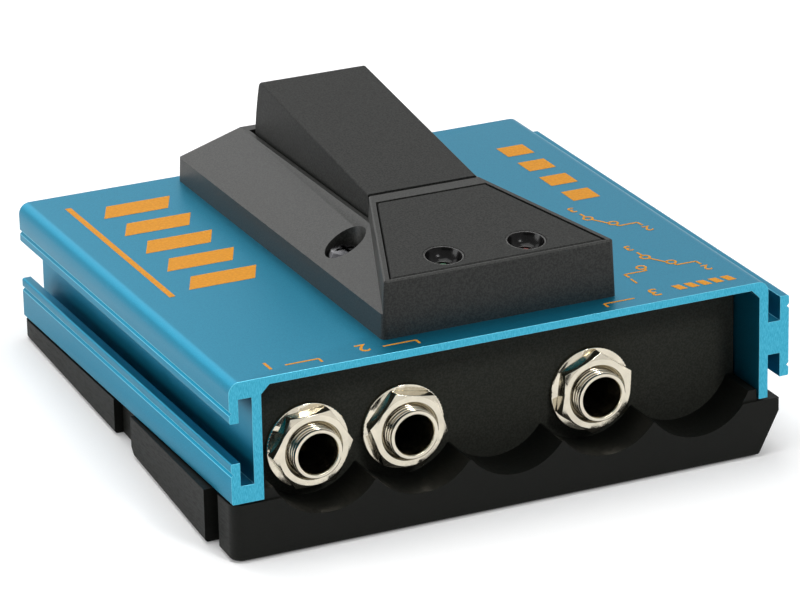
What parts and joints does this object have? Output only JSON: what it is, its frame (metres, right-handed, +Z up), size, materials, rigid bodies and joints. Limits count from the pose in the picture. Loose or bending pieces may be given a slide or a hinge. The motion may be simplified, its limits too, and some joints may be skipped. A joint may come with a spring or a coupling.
{
  "type": "two-way audio selector foot pedal",
  "caption": "Flat foot-operated selector box with a sprung treadle, row of jack sockets, two lamps, and side slot and rail for joining like boxes.",
  "frame": {"origin": "centre of the bounding box's bottom, on the plane that the sole stands on", "axes": "+Z up from the floor, -Y towards the jacks, +X towards the side with the T-rail; the cover is tipped 4 degrees down towards +Y"},
  "size_m": [0.1032, 0.0959, 0.0461],
  "materials": {
    "blue_anodised": "satin anodised",
    "base_moulding": "fine matte texture",
    "sole_rubber": "matte ribbed",
    "panel_black": "fine matte texture",
    "housing_black": "fine spark texture",
    "plate_black": "fine spark texture",
    "pedal_black": "fine spark texture",
    "board_green": "solder mask",
    "foam": "open foam",
    "steel": "zinc plated",
    "nickel": "nickel plated",
    "contact_brass": "bright",
    "black_screw": "black oxide",
    "switch_plastic": "moulded",
    "battery_jacket": "printed jacket, left plain",
    "lead_jacket": "smooth jacket",
    "bumper_rubber": "matte",
    "lamp_green": "clear tinted",
    "lamp_red": "clear tinted"
  },
  "bodies": {
    "case": {"top_cover": "blue_anodised", "base": "base_moulding", "sole": "sole_rubber", "jack_panel": "panel_black", "rear_panel": "panel_black", "pedal_housing": "housing_black", "indicator_plate": "plate_black", "indicator_board": "board_green", "indicator_pad": "foam", "pedal_pin": "steel", "pedal_spring": "steel", "bumpers": "bumper_rubber", "foot_switch_body": "switch_plastic", "foot_switch_bush": "nickel", "foot_switch_washer": "nickel", "foot_switch_nut": "nickel", "foot_switch_terminals": "contact_brass", "jack_nuts": "nickel", "jack_washers": "nickel", "housing_screws": "black_screw", "housing_nuts": "steel", "housing_rear_screws": "steel", "pillars": "contact_brass", "pillar_top_screws": "steel", "base_screws": "black_screw", "battery": "battery_jacket", "battery_snap": "switch_plastic", "battery_foam": "foam", "circuit_board": "board_green", "board_screws": "steel", "board_components": "switch_plastic", "battery_leads": "lead_jacket", "indicator_leads": "lead_jacket", "jack_leads": "lead_jacket", "jack_bushing_left": "nickel", "jack_body_left": "switch_plastic", "tip_contact_left": "contact_brass", "jack_bushing_middle": "nickel", "jack_body_middle": "switch_plastic", "tip_contact_middle": "contact_brass", "jack_bushing_right": "nickel", "jack_body_right": "switch_plastic", "tip_contact_right": "contact_brass", "indicator_well_left": "housing_black", "indicator_well_right": "housing_black", "lamp_left": "lamp_green", "lamp_right": "lamp_red"},
    "pedal": {"pedal": "pedal_black"},
    "plunger": {"foot_switch_plunger": "nickel"}
  },
  "joints": [
    {"name": "pedal_press", "type": "hinge", "parent": "case", "child": "pedal", "pos_m": [0.00065, -0.00731, 0.03287], "axis": [-1, 0, 0], "range_deg": [0, 4.5], "stiffness_Nm_per_rad": 0.05, "springref_deg": -17.19, "deforming": ["pedal_spring"]},
    {"name": "plunger_slide", "type": "slide", "parent": "case", "child": "plunger", "axis": [0, -0.0698, -0.9976], "range_m": [0, 0.00249], "stiffness_N_per_m": 5, "springref_m": -0.01}
  ],
  "couplings": [
    {"joint": "pedal_press", "follows": "plunger_slide", "rad_per_m": 31.546}
  ]
}
